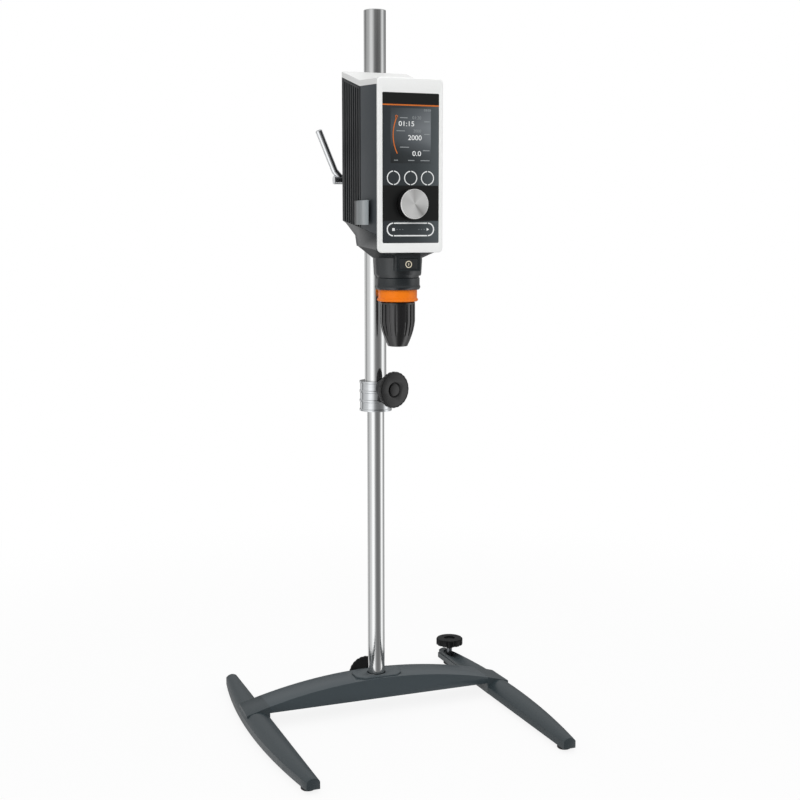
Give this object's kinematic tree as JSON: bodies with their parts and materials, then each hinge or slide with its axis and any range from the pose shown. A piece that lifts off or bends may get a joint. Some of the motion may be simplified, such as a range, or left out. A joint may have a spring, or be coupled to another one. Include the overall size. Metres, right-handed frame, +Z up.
{
  "type": "overhead stirrer",
  "caption": "Overhead laboratory stirrer with a display head on a telescopic tube, keyless chuck, clamp knobs and a wide H-shaped stand with a levelling foot.",
  "frame": {"origin": "middle of the stand's footprint at bench level", "axes": "+Z up along the tube, -Y the front with the display, +X to the right as seen from the front"},
  "size_m": [0.3902, 0.398, 0.946],
  "materials": {
    "leg_paint": "satin",
    "stainless": "polished",
    "machined_steel": "satin",
    "knob_plastic": "matte",
    "foot_rubber": "matte",
    "brass": "satin",
    "bronze_bush": "satin",
    "collar_aluminium": "satin",
    "black_plastic": "matte",
    "shell_grey": "satin",
    "fin_grey": "satin",
    "lower_grey": "satin",
    "cap_white": "satin",
    "frame_white": "satin",
    "display_window": "polished",
    "display_inner": "matte",
    "circuit_board": "satin",
    "tab_grey": "satin",
    "button_black": "satin",
    "ring_orange": "satin",
    "chuck_black": "satin",
    "gear_steel": "satin",
    "inlet_black": "matte"
  },
  "bodies": {
    "stand": {"left_leg": "leg_paint", "right_leg": "leg_paint", "cross_beam": "leg_paint", "socket_plate": "leg_paint", "beam_screws": "machined_steel", "rubber_feet": "foot_rubber", "inner_rod": "stainless", "foot_insert": "brass"},
    "base_pad": {"base_clamp_pad": "brass"},
    "base_knob": {"base_clamp_screw": "machined_steel", "base_clamp_knob": "knob_plastic"},
    "foot_pad": {"levelling_pad": "foot_rubber"},
    "foot_knob": {"levelling_screw": "machined_steel", "levelling_knob": "knob_plastic"},
    "bush": {"guide_bush": "bronze_bush"},
    "column": {"outer_tube": "stainless", "tube_plug": "black_plastic", "clamp_collar": "collar_aluminium", "collar_bush": "black_plastic"},
    "collar_pad": {"collar_clamp_pad": "brass"},
    "collar_knob": {"collar_clamp_screw": "machined_steel", "collar_clamp_knob": "knob_plastic"},
    "head": {"rear_shell": "fin_grey", "front_shell": "shell_grey", "top_cap": "cap_white", "display_frame": "frame_white", "display_glass": "display_window", "display_module": "display_inner", "display_board": "circuit_board", "encoder": "black_plastic", "side_tab": "tab_grey", "lower_housing": "lower_grey", "lower_ring": "lower_grey", "bearings": "machined_steel", "bearing_bracket": "collar_aluminium", "motor_can": "machined_steel", "motor_stator": "gear_steel", "control_board": "circuit_board", "head_clamp": "fin_grey", "power_inlet": "inlet_black", "inlet_pins": "brass"},
    "head_pad": {"lever_pad": "brass"},
    "head_lever": {"clamp_lever": "machined_steel"},
    "encoder_push": {"encoder_plunger": "black_plastic"},
    "speed_dial": {"speed_knob": "knob_plastic", "speed_knob_face": "machined_steel", "encoder_shaft": "machined_steel"},
    "power_key": {"power_button": "button_black"},
    "chuck_lock": {"lock_ring": "ring_orange"},
    "spindle_group": {"spindle": "machined_steel", "spindle_gear": "gear_steel", "chuck_body": "gear_steel"},
    "motor_rotor_group": {"motor_rotor": "gear_steel", "motor_shaft": "machined_steel", "motor_pinion": "gear_steel"},
    "sleeve": {"chuck_sleeve": "chuck_black"},
    "jaw_1": {"chuck_jaw_1": "machined_steel"},
    "jaw_2": {"chuck_jaw_2": "machined_steel"},
    "jaw_3": {"chuck_jaw_3": "machined_steel"}
  },
  "joints": [
    {"name": "base_pad_slide", "type": "slide", "parent": "stand", "child": "base_pad", "axis": [0, 1, 0], "range_m": [0, 0.003]},
    {"name": "base_knob_turn", "type": "hinge", "parent": "base_pad", "child": "base_knob", "pos_m": [0, 0.076, 0.0345], "axis": [0, 1, 0], "range_deg": [0, 720]},
    {"name": "foot_slide", "type": "slide", "parent": "stand", "child": "foot_pad", "axis": [0, 0, 1], "range_m": [-0.004, 0]},
    {"name": "foot_turn", "type": "hinge", "parent": "foot_pad", "child": "foot_knob", "pos_m": [0.16934, 0.1788, 0.02], "axis": [0, 0, 1], "range_deg": [-1080, 0]},
    {"name": "telescope_height", "type": "slide", "parent": "stand", "child": "bush", "axis": [0, 0, 1], "range_m": [-0.26, 0.064]},
    {"name": "telescope_swivel", "type": "hinge", "parent": "bush", "child": "column", "pos_m": [0, 0.046, 0.45], "axis": [0, 0, 1], "continuous": true},
    {"name": "collar_pad_slide", "type": "slide", "parent": "column", "child": "collar_pad", "axis": [0.284, -0.9588, 0], "range_m": [0, 0.003]},
    {"name": "collar_knob_turn", "type": "hinge", "parent": "collar_pad", "child": "collar_knob", "pos_m": [0.00852, 0.01724, 0.45], "axis": [0.284, -0.9588, 0], "range_deg": [0, 720]},
    {"name": "head_height", "type": "slide", "parent": "column", "child": "head", "axis": [0, 0, 1], "range_m": [-0.15, 0.08]},
    {"name": "head_pad_slide", "type": "slide", "parent": "head", "child": "head_pad", "axis": [-1, 0, 0], "range_m": [0, 0.001]},
    {"name": "head_lever_turn", "type": "hinge", "parent": "head_pad", "child": "head_lever", "pos_m": [-0.05, 0.046, 0.7262], "axis": [-1, 0, 0], "range_deg": [0, 180]},
    {"name": "dial_push", "type": "slide", "parent": "head", "child": "encoder_push", "axis": [0, 1, 0], "range_m": [0, 0.0008], "stiffness_N_per_m": 1500, "springref_m": -0.0005},
    {"name": "dial_turn", "type": "hinge", "parent": "encoder_push", "child": "speed_dial", "pos_m": [-0.00825, -0.1, 0.6933], "axis": [0, -1, 0], "continuous": true},
    {"name": "power_press", "type": "slide", "parent": "head", "child": "power_key", "axis": [0, 1, 0], "range_m": [0, 0.0012], "stiffness_N_per_m": 1200, "springref_m": -0.0005},
    {"name": "lock_slide", "type": "slide", "parent": "head", "child": "chuck_lock", "axis": [0, 0, 1], "range_m": [0, 0.004], "stiffness_N_per_m": 600, "springref_m": -0.002},
    {"name": "spindle_turn", "type": "hinge", "parent": "head", "child": "spindle_group", "pos_m": [-0.0085, -0.057, 0.6], "axis": [0, 0, 1], "continuous": true},
    {"name": "rotor_turn", "type": "hinge", "parent": "head", "child": "motor_rotor_group", "pos_m": [-0.0085, -0.005, 0.75], "axis": [0, 0, 1], "continuous": true},
    {"name": "sleeve_turn", "type": "hinge", "parent": "spindle_group", "child": "sleeve", "pos_m": [-0.0085, -0.057, 0.545], "axis": [0, 0, 1], "range_deg": [0, 2160]},
    {"name": "jaw_1_slide", "type": "slide", "parent": "spindle_group", "child": "jaw_1", "axis": [-0.342, 0, -0.9397], "range_m": [0, 0.0124]},
    {"name": "jaw_2_slide", "type": "slide", "parent": "spindle_group", "child": "jaw_2", "axis": [0.171, -0.2962, -0.9397], "range_m": [0, 0.0124]},
    {"name": "jaw_3_slide", "type": "slide", "parent": "spindle_group", "child": "jaw_3", "axis": [0.171, 0.2962, -0.9397], "range_m": [0, 0.0124]}
  ],
  "couplings": [
    {"joint": "base_pad_slide", "follows": "base_knob_turn", "m_per_rad": 0.00019894},
    {"joint": "foot_slide", "follows": "foot_turn", "m_per_rad": 0.00019894},
    {"joint": "collar_pad_slide", "follows": "collar_knob_turn", "m_per_rad": 0.00019894},
    {"joint": "head_pad_slide", "follows": "head_lever_turn", "m_per_rad": 0.00023873},
    {"joint": "rotor_turn", "follows": "spindle_turn", "ratio": -1.6667},
    {"joint": "jaw_1_slide", "follows": "sleeve_turn", "m_per_rad": 0.000328},
    {"joint": "jaw_2_slide", "follows": "sleeve_turn", "m_per_rad": 0.000328},
    {"joint": "jaw_3_slide", "follows": "sleeve_turn", "m_per_rad": 0.000328}
  ]
}
